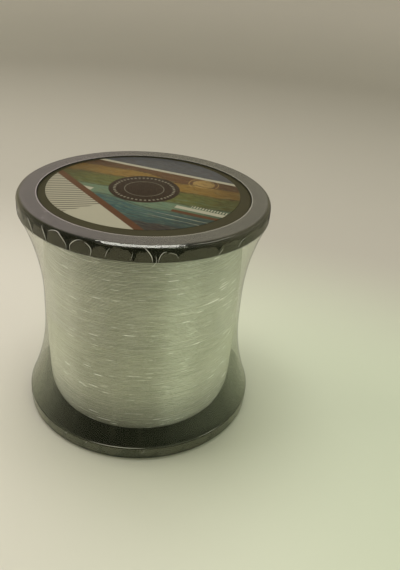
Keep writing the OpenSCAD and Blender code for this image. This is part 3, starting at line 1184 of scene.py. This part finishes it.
def build_creases(material, lower, upper):
    """The sharp folds of the sleeve over both rims."""
    rows = half_profile()[LIP_ROWS:]
    profile = ([row[1] - BASE_Z for row in rows], [row[0] for row in rows])
    points, faces, haze = [], [], []
    for folds, at_top in ((lower, False), (upper, True)):
        for strength, knots in folds:
            more, sides, cloud = crease(strength, knots, at_top, profile)
            first = len(points)
            points += more.tolist()
            faces += [tuple(first + k for k in side) for side in sides]
            haze += cloud.tolist()
    piece = new_object("film_creases", points, faces, material)
    store(piece, haze=haze, below=IN_PANEL, taut=0)
    finished(piece, "clear_film", "shrink_film", sharp_deg=80)


# --- stage

CAMERA_PLACE = (0, -273 * MM, 225.04 * MM)
CAMERA_PITCH = 0.5259  # down, in radians
CAMERA_ROLL = 0.0843
CAMERA_YAW = 0.1084  # towards +X
LENS = 38.084  # mm
SENSOR_W = 36  # mm

FLOOR_R = 1.3
FLOOR_HOLE_R = 0.001  # closed by one face in the middle
WALL_H = 1.6
COVE_R = 0.35  # round which the floor turns up into the wall
COVE_STEPS = 12
BACKDROP_SEGMENTS = 96

AIM = Vector((0, 0, 0.06))
# The lamps: place, width, height, power, colour, and whether gloss shows them.
LAMPS = {
    "key": ((-0.03, 0.13, 0.90), 0.50, 0.52, 4.2, (1.0, 0.95, 0.965), True),
    "left": ((-0.95, 0.16, 0.40), 0.9, 0.6, 5.4, (1.0, 0.95, 0.90), False),
    "right": ((0.63, -0.715, 0.42), 0.7, 0.5, 2.35, (0.94, 1.0, 0.84), True),
    "left_wall": ((-0.95, 0.10, 0.34), 1.0, 0.6, 0.9, (1.0, 0.95, 0.92), True),
    "right_wall": ((0.95, 0.05, 0.34), 1.0, 0.6, 1.4, (0.97, 1.0, 0.88), True),
}


def build_camera():
    data = bpy.data.cameras.new("camera")
    data.lens = LENS
    data.sensor_width = SENSOR_W
    data.clip_start = 0.01
    camera = linked("camera", data)
    turn = (Matrix.Rotation(-CAMERA_YAW, 4, "Z") @ Matrix.Rotation(pi / 2 - CAMERA_PITCH, 4, "X")
            @ Matrix.Rotation(CAMERA_ROLL, 4, "Z"))
    camera.matrix_world = Matrix.Translation(CAMERA_PLACE) @ turn
    bpy.context.scene.camera = camera


def backdrop_material():
    """Plain pale floor and wall, with a painted tint of the light, a little warmer on the left
    and greener on the right, and painted shade on the floor behind and to the right.
    """
    material, _, (x, y, z) = new_material("backdrop")
    # painted tint of the lamps' light: warmer towards -X, greener towards +X
    floor = mix(x.ramp(-0.12, 0.14), (0.69, 0.67, 0.57), (0.64, 0.70, 0.52))
    # painted shade: the floor behind the spool and to its right goes darker
    floor = mix((y * 0.93 + x * 0.37).ramp(0.05, 0.24), floor, (0.50, 0.48, 0.40))
    color = mix(z.ramp(0.004, 0.12), floor, (0.60, 0.57, 0.49))
    return surfaced(material, principled(color, 0.8))


def build_backdrop():
    """A round floor that turns up into a wall."""
    outline = [(FLOOR_HOLE_R, 0)]
    outline += [(FLOOR_R * i / 10, 0) for i in range(1, 8)]
    for i in range(COVE_STEPS + 1):
        a = pi / 2 * i / COVE_STEPS
        outline.append((FLOOR_R - COVE_R + COVE_R * sin(a), COVE_R - COVE_R * cos(a)))
    outline.append((FLOOR_R, WALL_H))
    points, faces = spun(outline, BACKDROP_SEGMENTS, closed=False)
    faces.append(tuple(j * len(outline) for j in range(BACKDROP_SEGMENTS)))
    backdrop = new_object("backdrop", points, faces, backdrop_material())
    backdrop.data.shade_smooth()


def build_lights():
    """Soft lamps round the spool, and a dim warm world."""
    for name, (place_at, width, height, power, color, mirrored) in LAMPS.items():
        data = bpy.data.lights.new(name, "AREA")
        data.shape = "RECTANGLE"
        data.size = width
        data.size_y = height
        data.energy = power
        data.color = color
        lamp = linked(name, data)
        lamp.location = place_at
        lamp.rotation_euler = (AIM - Vector(place_at)).to_track_quat("-Z", "Y").to_euler()
        lamp.visible_camera = False
        lamp.visible_glossy = mirrored
    world = bpy.data.worlds.new("world")
    world.use_nodes = True
    background = world.node_tree.nodes["Background"]
    background.inputs["Color"].default_value = (1.0, 0.97, 0.92, 1)
    background.inputs["Strength"].default_value = 0.275
    bpy.context.scene.world = world
    bpy.context.scene.view_settings.view_transform = "Standard"


# --- main

build_camera()
build_backdrop()
build_lights()
flange_plastic = flange_material()
build_flanges(flange_plastic)
build_end_discs(disc_material())
build_labels(lower_label_material(), upper_label_material())
build_turns(line_material())
build_core(packed_line_material())
build_tape(tape_material())
build_barrel(flange_plastic)
clear_film = film_material()
upper_rest = more_panels(5, *UNSEEN)
lower_panels = more_panels(8, 0, 360)
lower_rest = [panel for panel in lower_panels if 60 < panel[0] < 300]
build_film(clear_film, lower_panels, UPPER_PANELS + upper_rest)
build_creases(clear_film, LOWER_CREASES + more_creases(21, lower_rest, 0.35),
              UPPER_CREASES + more_creases(22, upper_rest, 0.8))
